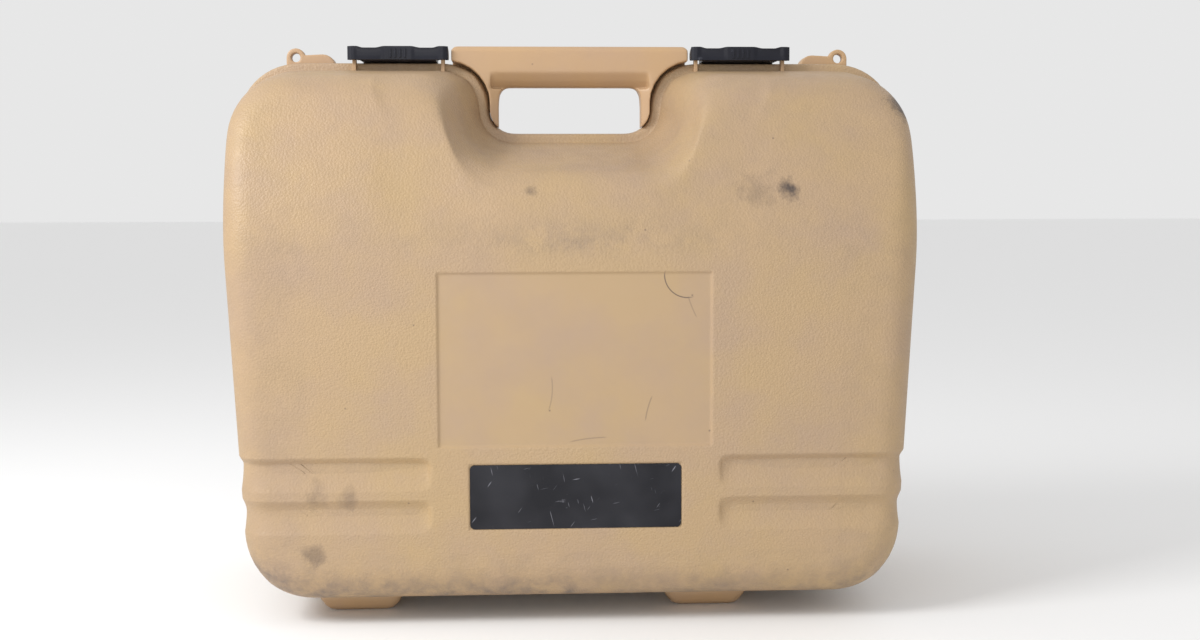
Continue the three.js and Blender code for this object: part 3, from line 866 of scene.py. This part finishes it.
@dataclass
class HalfShell:
    """One moulded half shell: a closed skin with a beaded rim."""

    body: str
    node: str
    has_plate: bool
    form: ShellForm
    field_half_width: float = 172 * MM
    field_low: float = 50 * MM
    field_high: float = 258 * MM
    pitch: float = 4.2 * MM
    bead: float = 4.5 * MM
    parting: float = 0.2 * MM
    panel: Recess = Recess(88.8 * MM, 119.6 * MM, 232.4 * MM, 1.2 * MM)
    plate: Recess = Recess(69.4 * MM, 65.0 * MM, 108.0 * MM, 1.0 * MM)
    grooves: Grooves = Grooves()
    hinge_half_width: float = 33 * MM
    claw_half_width: float = 28.5 * MM
    scoop_edge: tuple[Point, Point] = (mm(56, 45, 262), mm(128, 110, 368))
    scoop_rounds: int = 18

    def build(self, material: Material) -> Piece:
        """Builds the skin, with one live level of subdivision.

        Args:
            material: the piece's material.

        Returns:
            The piece.
        """
        mesh = bmesh.new()
        self.wear = mesh.verts.layers.float.new("wear")
        self.polished = mesh.verts.layers.float.new("polished")
        columns = self._graded(-self.field_half_width, self.field_half_width, self._column_edges())
        rows = self._graded(self.field_low, self.field_high, self._row_edges())
        loop, stations = self._middle_field(mesh, columns, rows)
        outer = [self.form.column(s, 0.0, self.form.rim_end, (5, 7, 9)) for s in stations]
        for k in reversed(range(len(outer[0]))):
            places = [self._worked(*column[k]) for column in outer]
            loop = self._extend(mesh, loop, places)
        self._soften_scoop(mesh)
        for grow, depth in self._bead_section():
            places = [self._rim_place(s, grow, depth) for s in stations]
            loop = self._extend(mesh, loop, places)
        inner = [self.form.column(s, -self.form.wall, 4 * MM, (2, 3, 2)) for s in stations]
        for k in range(len(inner[0])):
            loop = self._extend(mesh, loop, [column[k][0] for column in inner])
        bmesh.ops.triangle_fill(mesh, edges=self._ring(mesh, loop), use_beauty=True)
        if self.body == "base":
            bmesh.ops.rotate(mesh, verts=mesh.verts, cent=(0, 0, 0), matrix=Matrix.Rotation(math.pi, 3, "Z"))
        piece = as_object(f"{self.node}_skin", mesh, material)
        fine = piece.modifiers.new("fine", "SUBSURF")
        fine.levels = fine.render_levels = 1
        return piece

    def _column_edges(self) -> list[float]:
        """Lists the upright edges that need close columns.

        Returns:
            Their X.
        """
        edges = [self.panel.half_width, self.grooves.start + 2 * MM]
        if self.has_plate:
            edges.append(self.plate.half_width)
        return [side * e for e in edges for side in (-1, 1)]

    def _row_edges(self) -> list[float]:
        """Lists the level edges that need close rows.

        Returns:
            Their heights.
        """
        edges = [self.panel.low, self.panel.high]
        for line in self.grooves.deepest:
            edges += [line + self.grooves.above, line - self.grooves.below]
        if self.has_plate:
            edges += [self.plate.low, self.plate.high]
        return edges

    def _graded(self, low: float, high: float, edges: Iterable[float]) -> list[float]:
        """Spaces grid lines at the pitch, with five close lines at each edge.

        Args:
            low: the first line.
            high: the last line.
            edges: the edges' places.

        Returns:
            The lines' places.
        """
        close = sorted(e + offset * MM for e in edges for offset in (-1.6, -0.7, 0.0, 0.7, 1.6))
        count = round((high - low) / self.pitch)
        plain = [lerp(low, high, k / count) for k in range(count + 1)]
        kept = [p for p in plain if p in (low, high) or all(abs(p - c) > 1.3 * MM for c in close)]
        lines: list[float] = []
        for line in sorted(kept + close):
            if not lines or line - lines[-1] > 0.3 * MM:
                lines.append(line)
        return lines

    def _middle_field(
        self, mesh: Mesh, columns: list[float], rows: list[float]
    ) -> tuple[list[Vert], list[Station]]:
        """Makes the face's middle field from a grid.

        Args:
            mesh: the mesh being built.
            columns: X of the upright lines.
            rows: heights of the level lines.

        Returns:
            Its border, in order, and the border's stations.
        """
        bmesh.ops.create_grid(mesh, x_segments=len(columns) - 1, y_segments=len(rows) - 1, size=1.0)
        table = {}
        for vertex in mesh.verts:
            i = round((vertex.co.x + 1.0) / 2.0 * (len(columns) - 1))
            j = round((vertex.co.y + 1.0) / 2.0 * (len(rows) - 1))
            table[i, j] = vertex
        for (i, j), vertex in table.items():
            x, z = columns[i], rows[j]
            vertex.co = self._worked(Vector((x, -self.form.face_depth(z), z)), 1.0)
            inside = self.panel.depth_at(x, z) > 0.0
            vertex[self.polished] = 1.0 if inside else 0.0
            vertex[self.wear] = self._wear_at(x, z, 1.0)
        last_i, last_j = len(columns) - 1, len(rows) - 1
        border = [(i, 0) for i in range(last_i)] + [(last_i, j) for j in range(last_j)]
        border += [(i, last_j) for i in range(last_i, 0, -1)] + [(0, j) for j in range(last_j, 0, -1)]
        stations = [self._station(columns[i], rows[j]) for i, j in border]
        return [table[key] for key in border], stations

    def _station(self, x: float, z: float) -> Station:
        """Finds the station for a point on the middle field's border.

        Args:
            x: the point's X.
            z: its height.

        Returns:
            The station.
        """
        side, left = abs(x), x < 0.0
        inner = (x, z)
        corner_from = 150 * MM
        arc_top = 60.5 * MM
        if z <= self.field_low:
            if side <= corner_from:
                return Station(Stretch.BOTTOM, side / corner_from, inner, left)
            share = (side - corner_from) / (self.field_half_width - corner_from)
            return Station(Stretch.BOTTOM_CORNER, share / 2.0, inner, left)
        if z < self.field_high:
            if z < arc_top:
                share = (z - self.field_low) / (arc_top - self.field_low)
                return Station(Stretch.BOTTOM_CORNER, 0.5 + share / 2.0, inner, left)
            return Station(Stretch.SIDE, z, inner, left)
        knots = (
            (self.field_half_width, Stretch.HIGH_SIDE),
            (150 * MM, Stretch.TOP_CORNER),
            (122 * MM, Stretch.TOP),
            (80 * MM, Stretch.FLARE),
            (58 * MM, Stretch.NOTCH_WALL),
            (54 * MM, Stretch.NOTCH_CORNER),
            (40 * MM, Stretch.NOTCH_FLOOR),
            (0.0, Stretch.NOTCH_FLOOR),
        )
        for (start, stretch), (end, _) in zip(knots, knots[1:]):
            if side >= end:
                return Station(stretch, (start - side) / (start - end), inner, left)
        raise ValueError("the point is off the middle field's border")

    def _worked(self, place: Vector, face_share: float) -> Vector:
        """Pushes a point of the plain form in by the recesses and grooves.

        Args:
            place: the plain point.
            face_share: 0 on the wall, 1 on the face.

        Returns:
            The point on the worked surface.
        """
        x, depth, z = place.x, -place.y, place.z
        push = self.grooves.depth_at(x, z, depth, face_share)
        if face_share >= 1.0:
            push += self.panel.depth_at(x, z)
            if self.has_plate:
                push += self.plate.depth_at(x, z)
        if not push:
            return place
        outwards = Vector((math.copysign(1.0 - face_share, x), -face_share, 0.0)).normalized()
        return place - outwards * push

    def _wear_at(self, x: float, z: float, face_share: float) -> float:
        """Works out how rubbed the surface is at the ridge, the bottom edge and the corners.

        Args:
            x: the point's X.
            z: its height.
            face_share: 0 on the wall, 1 on the face.

        Returns:
            The wear, from 0 to 1.
        """
        middle = 0.12 + 0.4 * math.exp(-(((x - 10 * MM) / (75 * MM)) ** 2))
        ridge = middle * math.exp(-(((z - 253 * MM) / (9 * MM)) ** 2))
        bottom = 0.75 * math.exp(-((max(z - 18 * MM, 0.0) / (15 * MM)) ** 2))
        corner = 0.5 * math.exp(-(((abs(x) - 205 * MM) / (30 * MM)) ** 2) - ((z - 28 * MM) / (22 * MM)) ** 2)
        left = 1.25 if x < 0.0 else 0.7
        edge = 0.12 * (1.0 - abs(2.0 * face_share - 1.0))
        return min(1.0, ridge + (bottom + corner) * left + edge)

    def _soften_scoop(self, mesh: Mesh) -> None:
        """Rounds the scoop's outer edges, clear of the rim and of the middle of the notch.

        Args:
            mesh: the mesh being built.
        """
        low, high = self.scoop_edge
        edge = [
            v for v in mesh.verts
            if low[0] < abs(v.co.x) < high[0] and low[1] < -v.co.y and low[2] < v.co.z < high[2]
        ]
        relax(mesh, edge, self.scoop_rounds)

    def _extend(self, mesh: Mesh, loop: list[Vert], places: Sequence[Vector]) -> list[Vert]:
        """Extrudes a closed loop and moves the new loop to its places.

        Args:
            mesh: the mesh being built.
            loop: the loop's vertices.
            places: where the new ones go.

        Returns:
            The new loop.
        """
        made = bmesh.ops.extrude_edge_only(mesh, edges=self._ring(mesh, loop))["geom"]
        fresh = {v for v in made if isinstance(v, Vert)}
        following = []
        for old, place in zip(loop, places):
            new = next(e.other_vert(old) for e in old.link_edges if e.other_vert(old) in fresh)
            new.co = place
            new[self.wear] = self._wear_at(place.x, place.z, 0.5)
            new[self.polished] = 0.0
            following.append(new)
        return following

    @staticmethod
    def _ring(mesh: Mesh, loop: list[Vert]) -> list[bmesh.types.BMEdge]:
        """Returns the edges that join a closed loop of vertices."""
        return [mesh.edges.get((a, b)) for a, b in zip(loop, loop[1:] + loop[:1])]

    def _bead_section(self) -> list[Flat]:
        """Draws the rim's section from the wall to the inside.

        Returns:
            How far out and at which depth, for each point.
        """
        bead = self.bead
        return [
            mm(-0.9, 7.7),
            mm(-0.9, 7.0),
            mm(0.3, 6.5),
            (bead - 1.2 * MM, 6.2 * MM),
            (bead - 0.3 * MM, 5.7 * MM),
            (bead, 4.9 * MM),
            (bead, 1.6 * MM),
            (bead - 0.35 * MM, 0.6 * MM),
            (bead - 1.0 * MM, self.parting),
            (-self.form.wall + 0.5 * MM, self.parting),
            (-self.form.wall, 0.8 * MM),
        ]

    def _rim_place(self, station: Station, grow: float, depth: float) -> Vector:
        """Finds a point of the rim, lowered where the hinges and the claws need room.

        Args:
            station: the place on the outline.
            grow: how far outside the wall.
            depth: distance from the parting plane.

        Returns:
            The point.
        """
        x, z = self.form.outline(station, depth, 0.0)
        limit = self.bead
        if station.stretch is Stretch.BOTTOM:
            away = abs(abs(x) - HINGE_CENTRE) - self.hinge_half_width
            limit = lerp(0.6 * MM, self.bead, smooth(away / (4 * MM)))
        if station.stretch is Stretch.TOP and self.body == "base":
            away = abs(abs(x) - LATCH_CENTRE) - self.claw_half_width
            limit = lerp(0.9 * MM, self.bead, smooth(away / (4 * MM)))
        x, z = self.form.outline(station, depth, min(grow, limit))
        return Vector((x, -depth, z))


@dataclass
class SmallMouldings:
    """The feet, hinge knuckles and latch lugs that are moulded with a half shell."""

    body: str
    foot_centres: tuple[float, float] = mm(-146, 90)
    foot_top: tuple[float, float, float] = mm(32, 22, 72)
    foot_sole: tuple[float, float, float] = mm(22.5, 28, 66)
    foot_height: float = 16 * MM
    hinge_height: float = 7 * MM
    knuckle_radius: float = 5 * MM
    bore_radius: float = 2.3 * MM
    knuckle_pitch: float = 12 * MM
    knuckle_gap: float = 0.3 * MM
    lug_foot: float = 370 * MM
    lug_radius: float = 3 * MM
    lug_outer: float = 32.3 * MM
    lug_width: float = 2.6 * MM

    def feet(self, material: Material) -> Piece:
        """Builds the pair of tapered feet with rounded soles.

        Args:
            material: the piece's material.

        Returns:
            The piece.
        """
        mesh = bmesh.new()
        turn = -1.0 if self.body == "base" else 1.0
        for centre in self.foot_centres:
            verts = bmesh.ops.create_cube(mesh, size=2.0)["verts"]
            for vertex in verts:
                half, near, far = self.foot_top if vertex.co.z > 0 else self.foot_sole
                x = centre + half * vertex.co.x
                y = -near if vertex.co.y > 0 else -far
                z = self.foot_height if vertex.co.z > 0 else 0.0
                vertex.co = (turn * x, turn * y, z)
            mesh.normal_update()
            fresh = set(verts)
            rounded = [
                e for e in mesh.edges if fresh.issuperset(e.verts) and min(v.co.z for v in e.verts) < 1 * MM
            ]
            bevel_edges(mesh, rounded, 6 * MM)
        return as_object(f"{self.body}_feet", mesh, material)

    def knuckles(self, material: Material) -> Piece:
        """Builds this half's hinge knuckles: bored barrels on short webs.

        Args:
            material: the piece's material.

        Returns:
            The piece.
        """
        mesh = bmesh.new()
        first = 0 if self.body == "base" else 1
        side = 1.0 if self.body == "base" else -1.0
        for centre in (-HINGE_CENTRE, HINGE_CENTRE):
            for k in range(first, 5, 2):
                low = centre + (k - 2.5) * self.knuckle_pitch + self.knuckle_gap
                high = low + self.knuckle_pitch - 2.0 * self.knuckle_gap
                self._barrel(mesh, low, high)
                near, far = sorted((side * 0.4 * MM, side * 5.8 * MM))
                add_box(mesh, (low, near, self.hinge_height + 3.2 * MM), (high, far, 14.5 * MM))
        return as_object(f"{self.body}_hinge_knuckles", mesh, material)

    def _barrel(self, mesh: Mesh, low: float, high: float) -> None:
        """Adds one bored barrel by turning its section about the hinge's axis.

        Args:
            mesh: the mesh being built.
            low: the X it starts at.
            high: the X it ends at.
        """
        edge = 0.5 * MM
        inner, outer = self.bore_radius, self.knuckle_radius
        section = (
            (low, inner), (low, outer - edge), (low + edge, outer),
            (high - edge, outer), (high, outer - edge), (high, inner),
        )
        ring = [mesh.verts.new((x, 0.0, self.hinge_height + r)) for x, r in section]
        edges = [mesh.edges.new(pair) for pair in zip(ring, ring[1:] + ring[:1])]
        bmesh.ops.spin(
            mesh, geom=ring + edges, cent=(0.0, 0.0, self.hinge_height), axis=(1.0, 0.0, 0.0),
            angle=math.tau, steps=32, use_merge=True,
        )

    def lugs(self, material: Material) -> Piece:
        """Builds the four lugs on the lid that the latch levers turn in.

        Args:
            material: the piece's material.

        Returns:
            The piece.
        """
        mesh = bmesh.new()
        y, radius = LATCH_PIVOT[0], self.lug_radius
        arc = [around(LATCH_PIVOT, radius, 12.0 * k) for k in range(16)]
        outline = [(y - radius, self.lug_foot), (y + radius, self.lug_foot)] + arc
        for centre in (-LATCH_CENTRE, LATCH_CENTRE):
            for side in (-1.0, 1.0):
                start = centre + side * (self.lug_outer - self.lug_width / 2.0) - self.lug_width / 2.0
                add_prism(mesh, outline, start, self.lug_width)
        piece = as_object("lid_latch_lugs", mesh, material)
        round_edges(piece, 0.4 * MM, 2)
        return piece


# ---------------------------------------------------------------- handle and strap eyes


@dataclass
class CarryHandle:
    """The fixed handle: a bar with a flat front band, rounded underneath, and thick ends in the notch."""

    band_low: float = 373.5 * MM
    grip_low: float = 360 * MM
    under_share: float = 0.5
    bar_end: float = 44 * MM
    block_start: float = 62 * MM
    leg_top: float = 356 * MM
    leg_spread: float = 0.45 * MM

    def reshape(self, place: Vector) -> Vector:
        """Draws a point of the plain handle in to the handle's section.

        Args:
            place: the plain point.

        Returns:
            The point on the handle.
        """
        fall = min(max((self.band_low - place.z) / (self.band_low - self.grip_low), 0.0), 1.0)
        under = lerp(1.0, self.under_share, 1.0 - math.sqrt(max(0.0, 1.0 - fall * fall)))
        bar = 1.0 - smooth((abs(place.x) - self.bar_end) / (self.block_start - self.bar_end))
        section = lerp(1.0, under, bar)
        leg = smooth((self.leg_top - place.z) / (10 * MM))
        out = math.copysign(self.leg_spread * leg, place.x)
        return Vector((place.x + out, place.y * section, place.z - self.leg_spread * leg))

    def build(self, material: Material) -> None:
        """Builds the handle and puts it on the base."""
        piece = soften_node("carry_handle_moulding", "carry_handle", 0.95 * MM, 4, material, self.reshape)
        finish_piece(piece, "base", ["carry_handle"])


@dataclass
class StrapEyes:
    """The two eyes for the shoulder strap, each a ring beside a rounded block."""

    def build(self, material: Material) -> None:
        """Builds both eyes and puts them on the base.

        Args:
            material: the piece's material.
        """
        for side in ("left", "right"):
            piece = soften_node(f"strap_eye_{side}_moulding", f"strap_eye_{side}", 0.5 * MM, 5, material)
            finish_piece(piece, "base", [f"strap_eye_{side}"])


# ---------------------------------------------------------------- latches


@dataclass
class Latch:
    """A toggle latch: a ribbed lever on the lid and a claw that reaches over the rims."""

    side: str
    centre: float
    half_width: float = 35 * MM
    front: float = -18 * MM
    back: float = -15.1 * MM
    low: float = 378 * MM
    high: float = 387.5 * MM
    pivot: Flat = LATCH_PIVOT
    pin: Flat = mm(-12.6, 379.4)
    arm: float = 2.4 * MM
    claw_half_width: float = 26.5 * MM
    hump: float = 1.1 * MM
    rib_pitch: float = 3.4 * MM

    def _top_at(self, x: float) -> float:
        """Finds the lever's top edge, raised in the middle and at the ends.

        Args:
            x: distance from its middle.

        Returns:
            The edge's height.
        """
        middle = 1.0 - smooth((abs(x) - 9 * MM) / (7 * MM))
        ends = smooth((abs(x) - 24 * MM) / (5 * MM))
        return self.high - self.hump * (1.0 - max(middle, ends))

    def lever(self, material: Material) -> Piece:
        """Builds the lever: ribbed front bar, recessed fields, top lip and two arms.

        Args:
            material: the piece's material.

        Returns:
            The piece.
        """
        mesh = bmesh.new()
        steps = 56
        bmesh.ops.create_grid(mesh, x_segments=steps, y_segments=5, size=1.0)
        for vertex in mesh.verts:
            x = vertex.co.x * self.half_width
            level = (vertex.co.y + 1.0) / 2.0
            top = self._top_at(x)
            field = 11 * MM < abs(x) < 29 * MM and 0.15 < level < 0.85
            y = self.front + (0.5 * MM if field else 0.0)
            corner = smooth((abs(x) - self.half_width + 3 * MM) / (3 * MM))
            vertex.co = (self.centre + x, y + 1.6 * MM * corner, lerp(self.low, top, level))
        faces = list(mesh.faces)
        made = bmesh.ops.extrude_face_region(mesh, geom=faces, use_keep_orig=True)["geom"]
        for vertex in (v for v in made if isinstance(v, Vert)):
            vertex.co.y = self.back
        for k in (-3, -1, 1, 3):
            x = self.centre + k * self.rib_pitch / 2.0
            add_box(
                mesh, (x - 0.75 * MM, self.front - 0.7 * MM, self.low + 1.3 * MM),
                (x + 0.75 * MM, self.front + 1.5 * MM, self.high - 1.6 * MM),
            )
        for side in (-1.0, 1.0):
            x = self.centre + side * (self.half_width - self.arm / 2.0) - self.arm / 2.0
            arc = [around(self.pivot, 3.1 * MM, -110.0 + 18.5 * k) for k in range(11)]
            near, far = self.front + 2 * MM, self.pivot[0]
            outline = [(near, self.low + 0.1 * MM), (far - 1.6 * MM, self.low + 0.9 * MM)]
            outline += arc + [(far - 2 * MM, self.high - 1.2 * MM), (near, self.high - 0.4 * MM)]
            add_prism(mesh, outline, x, self.arm)
            rib = self.centre + side * (self.claw_half_width + 1.2 * MM) - 0.9 * MM
            y, z = self.pin
            ear = [(self.back - 1 * MM, self.low + 0.2 * MM), (y + 1.8 * MM, self.low + 0.2 * MM),
                   (y + 2 * MM, z + 1.8 * MM), (self.back + 1.2 * MM, self.high - 2.4 * MM),
                   (self.back - 1 * MM, self.high - 2.4 * MM)]
            add_prism(mesh, ear, rib, 1.8 * MM)
        piece = as_object(f"latch_{self.side}_lever_moulding", mesh, material)
        round_edges(piece, 0.35 * MM, 2, 40.0)
        return piece

    def claw(self, material: Material) -> Piece:
        """Builds the claw: a hooked plate with a rounded pivot end.

        Args:
            material: the piece's material.

        Returns:
            The piece.
        """
        mesh = bmesh.new()
        y, z = self.pin
        crest = self.low + 4.6 * MM
        arc = [around(self.pin, 1.95 * MM, 90.0 + 16.0 * k) for k in range(11)]
        outline = arc + [
            (self.pivot[0], self.low), (6.5 * MM, self.low), mm(6.8, 374.4), mm(9.4, 374.4),
            (10.3 * MM, self.low + 1 * MM), (8.6 * MM, crest), (-1.2 * MM, crest),
            (-6.5 * MM, self.low + 3.2 * MM),
        ]
        add_prism(mesh, outline, self.centre - self.claw_half_width, 2.0 * self.claw_half_width)
        piece = as_object(f"latch_{self.side}_claw_moulding", mesh, material)
        round_edges(piece, 0.5 * MM, 3)
        return piece

    def build(self, material: Material) -> None:
        """Builds the latch and puts its pieces on their bodies."""
        finish_piece(self.lever(material), f"lever_{self.side}", [f"latch_{self.side}_lever"])
        finish_piece(self.claw(material), f"claw_{self.side}", [f"latch_{self.side}_claw"])


# ---------------------------------------------------------------- nameplate and foam


@dataclass
class Nameplate:
    """The thin dark plate in its recess. It is left blank."""

    corner: float = 3 * MM

    def build(self, material: Material) -> None:
        """Builds the plate and puts it on the lid.

        Args:
            material: the piece's material.
        """
        low, high = (Vector(c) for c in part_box("nameplate"))
        mesh = bmesh.new()
        add_box(mesh, tuple(low), tuple(high))
        upright = [e for e in mesh.edges if abs(e.verts[0].co.y - e.verts[1].co.y) > 0.3 * MM]
        bevel_edges(mesh, upright, self.corner)
        piece = as_object("nameplate_blank", mesh, material)
        round_edges(piece, 0.15 * MM, 2)
        finish_piece(piece, "lid", ["nameplate"])


@dataclass
class FittedFoam:
    """The two foam blocks with their pockets."""

    voxel: float = 3.2 * MM
    rounds: int = 2

    def build(self, material: Material) -> None:
        """Builds both blocks, with slightly rounded pocket edges, and puts them in their halves.

        Args:
            material: the piece's material.
        """
        for body in ("base", "lid"):
            piece = soften_node(f"{body}_foam_block", f"{body}_foam", self.voxel, self.rounds, material)
            finish_piece(piece, body, [f"{body}_foam"])


# ---------------------------------------------------------------- studio


@dataclass
class Studio:
    """A pale floor, soft light from the upper left and a camera in front of the lid."""

    camera_place: Point = mm(-27, -1012, 272)
    yaw: float = 2.73
    pitch: float = 4.44
    roll: float = -0.18
    lens: float = 42.0

    def build(self) -> None:
        """Builds the floor, lights, world and camera."""
        self._floor()
        self._light("key", (-0.95, -0.62, 0.95), 0.5, 12.5)
        self._light("low_fill", (-0.3, -1.9, 0.1), 0.8, 8.0)
        world = bpy.data.worlds.new("studio")
        world.use_nodes = True
        background = world.node_tree.nodes["Background"]
        background.inputs["Color"].default_value = linear_colour("#ffffff")
        background.inputs["Strength"].default_value = 0.8
        bpy.context.scene.world = world
        bpy.context.scene.view_settings.view_transform = "Standard"
        self._camera()

    def _floor(self) -> None:
        """Adds the floor, which is staging."""
        mesh = bmesh.new()
        bmesh.ops.create_grid(mesh, x_segments=1, y_segments=1, size=40.0)
        material = bpy.data.materials.new("pale_floor")
        material.use_nodes = True
        shader = material.node_tree.nodes["Principled BSDF"]
        shader.inputs["Base Color"].default_value = linear_colour("#f4f4f4")
        shader.inputs["Roughness"].default_value = 0.9
        as_object("floor", mesh, material)

    def _light(self, name: str, place: Point, size: float, power: float) -> None:
        """Adds one square soft light that faces the middle of the case.

        Args:
            name: its name.
            place: its middle.
            size: its width.
            power: its power in watts.
        """
        lamp = bpy.data.lights.new(name, "AREA")
        lamp.size = size
        lamp.energy = power
        light = bpy.data.objects.new(name, lamp)
        light.location = place
        aim = Vector((0.0, 0.0, 0.2)) - Vector(place)
        light.rotation_euler = aim.to_track_quat("-Z", "Y").to_euler()
        bpy.context.scene.collection.objects.link(light)

    def _camera(self) -> None:
        """Adds the camera and makes it the scene's own."""
        yaw, pitch, roll = (math.radians(a) for a in (self.yaw, self.pitch, self.roll))
        forward = Vector((math.sin(yaw) * math.cos(pitch), math.cos(yaw) * math.cos(pitch), -math.sin(pitch)))
        level = Vector((math.cos(yaw), -math.sin(yaw), 0.0))
        upright = level.cross(forward)
        right = math.cos(roll) * level + math.sin(roll) * upright
        up = -math.sin(roll) * level + math.cos(roll) * upright
        lens = bpy.data.cameras.new("camera")
        lens.lens = self.lens
        lens.sensor_width = 36.0
        camera = bpy.data.objects.new("camera", lens)
        turn = Matrix((right, up, -forward)).transposed()
        camera.matrix_world = Matrix.Translation(self.camera_place) @ turn.to_4x4()
        bpy.context.scene.collection.objects.link(camera)
        bpy.context.scene.camera = camera


# ---------------------------------------------------------------- the whole case


@dataclass
class CarryingCase:
    """The whole case: it makes each finish once and builds every sub-assembly with it."""

    stains: tuple[Smudge, ...] = (
        Smudge(mm(139, -98.5, 286), 10 * MM, 0.95),
        Smudge(mm(120, -99, 286), 16 * MM, 0.3),
        Smudge(mm(221, -62, 339), 19 * MM, 0.9),
        Smudge(mm(-29, -98, 284), 6 * MM, 0.6),
        Smudge(mm(-168, -106, 87), 12 * MM, 0.4),
        Smudge(mm(-148, -106, 86), 9 * MM, 0.35),
        Smudge(mm(-170, -109, 50), 10 * MM, 0.45),
    )
    pen_marks: tuple[PenMark, ...] = (
        PenMark(mm(73, -108, 231), 15 * MM, 0.75, mm(63, -108, 220), 15 * MM),
        PenMark(mm(-60, -108, 158), 45 * MM, 0.3, mm(-16, -108, 154), 12 * MM),
        PenMark(mm(105, -108, 128), 60 * MM, 0.4, mm(47, -108, 144), 9 * MM),
        PenMark(mm(20, -108, 20), 105 * MM, 0.35, mm(8, -108, 125), 13 * MM),
        PenMark(mm(150, -108, 240), 80 * MM, 0.3, mm(76, -108, 210), 8 * MM),
    )

    def build(self) -> None:
        """Builds every visible piece of the case."""
        tones = {"base": "#ad9272", "warm": "#af946c", "rosy": "#a68d76", "scuff": "#736760"}
        # Leather grain has pebbles about 1 mm apart: drawn at 1.5 mm so that it shows.
        grained = MouldedPlastic(
            "leather_grained_moulded_plastic", **tones, grain=1.5 * MM, grain_height=0.26 * MM,
            roughness=0.52, smudges=self.stains, marks=self.pen_marks,
        ).build()
        plain = MouldedPlastic(
            "smooth_moulded_plastic", "#b79774", "#b8966d", "#b09276", "#7b6e66",
            grain=0.0, grain_height=0.25 * MM, roughness=0.45,
        ).build()
        black = ScratchedDark(
            "black_moulded_nylon", "#14151f", "#777985", 0.36, amount=0.25, width=1.2 * MM, turns=(12.0, 80.0)
        ).build()
        plate = ScratchedDark(
            "black_lacquered_plate", "#111118", "#a4a4ae", 0.32, amount=0.45, width=1.3 * MM,
            turns=(-14.0, 35.0, 78.0),
        ).build()
        steel = ZincPlate().build()
        foam = CellFoam().build()

        form = ShellForm()
        for body, node, has_plate in (("lid", "lid_shell", True), ("base", "base_shell", False)):
            skin = HalfShell(body, node, has_plate, form).build(grained)
            finish_piece(skin, body, [node])
            mouldings = SmallMouldings(body)
            finish_piece(mouldings.feet(plain), body)
            finish_piece(mouldings.knuckles(plain), body)
            if body == "lid":
                finish_piece(mouldings.lugs(plain), body)
        CarryHandle().build(plain)
        StrapEyes().build(plain)
        for side, centre in (("left", -LATCH_CENTRE), ("right", LATCH_CENTRE)):
            Latch(side, centre).build(black)
        Nameplate().build(plate)
        FittedFoam().build(foam)
        self._dress_steel(steel)

    @staticmethod
    def _dress_steel(steel: Material) -> None:
        """Gives the pins and screws, whose solids stay, their plated finish.

        Args:
            steel: the plated finish.
        """
        for subpart in frame["record"]["subparts"]:
            if subpart["material_slot"] == "steel":
                node = frame["nodes"][subpart["node"]]
                node.data.materials.clear()
                node.data.materials.append(steel)
                log.info("%s keeps its solid, in zinc plate", node.name)


def main() -> None:
    """Builds the case and its studio."""
    logging.basicConfig(level=logging.INFO, format="%(message)s")
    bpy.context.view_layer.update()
    CarryingCase().build()
    Studio().build()
    bpy.context.view_layer.update()


if __name__ == "__main__":
    main()
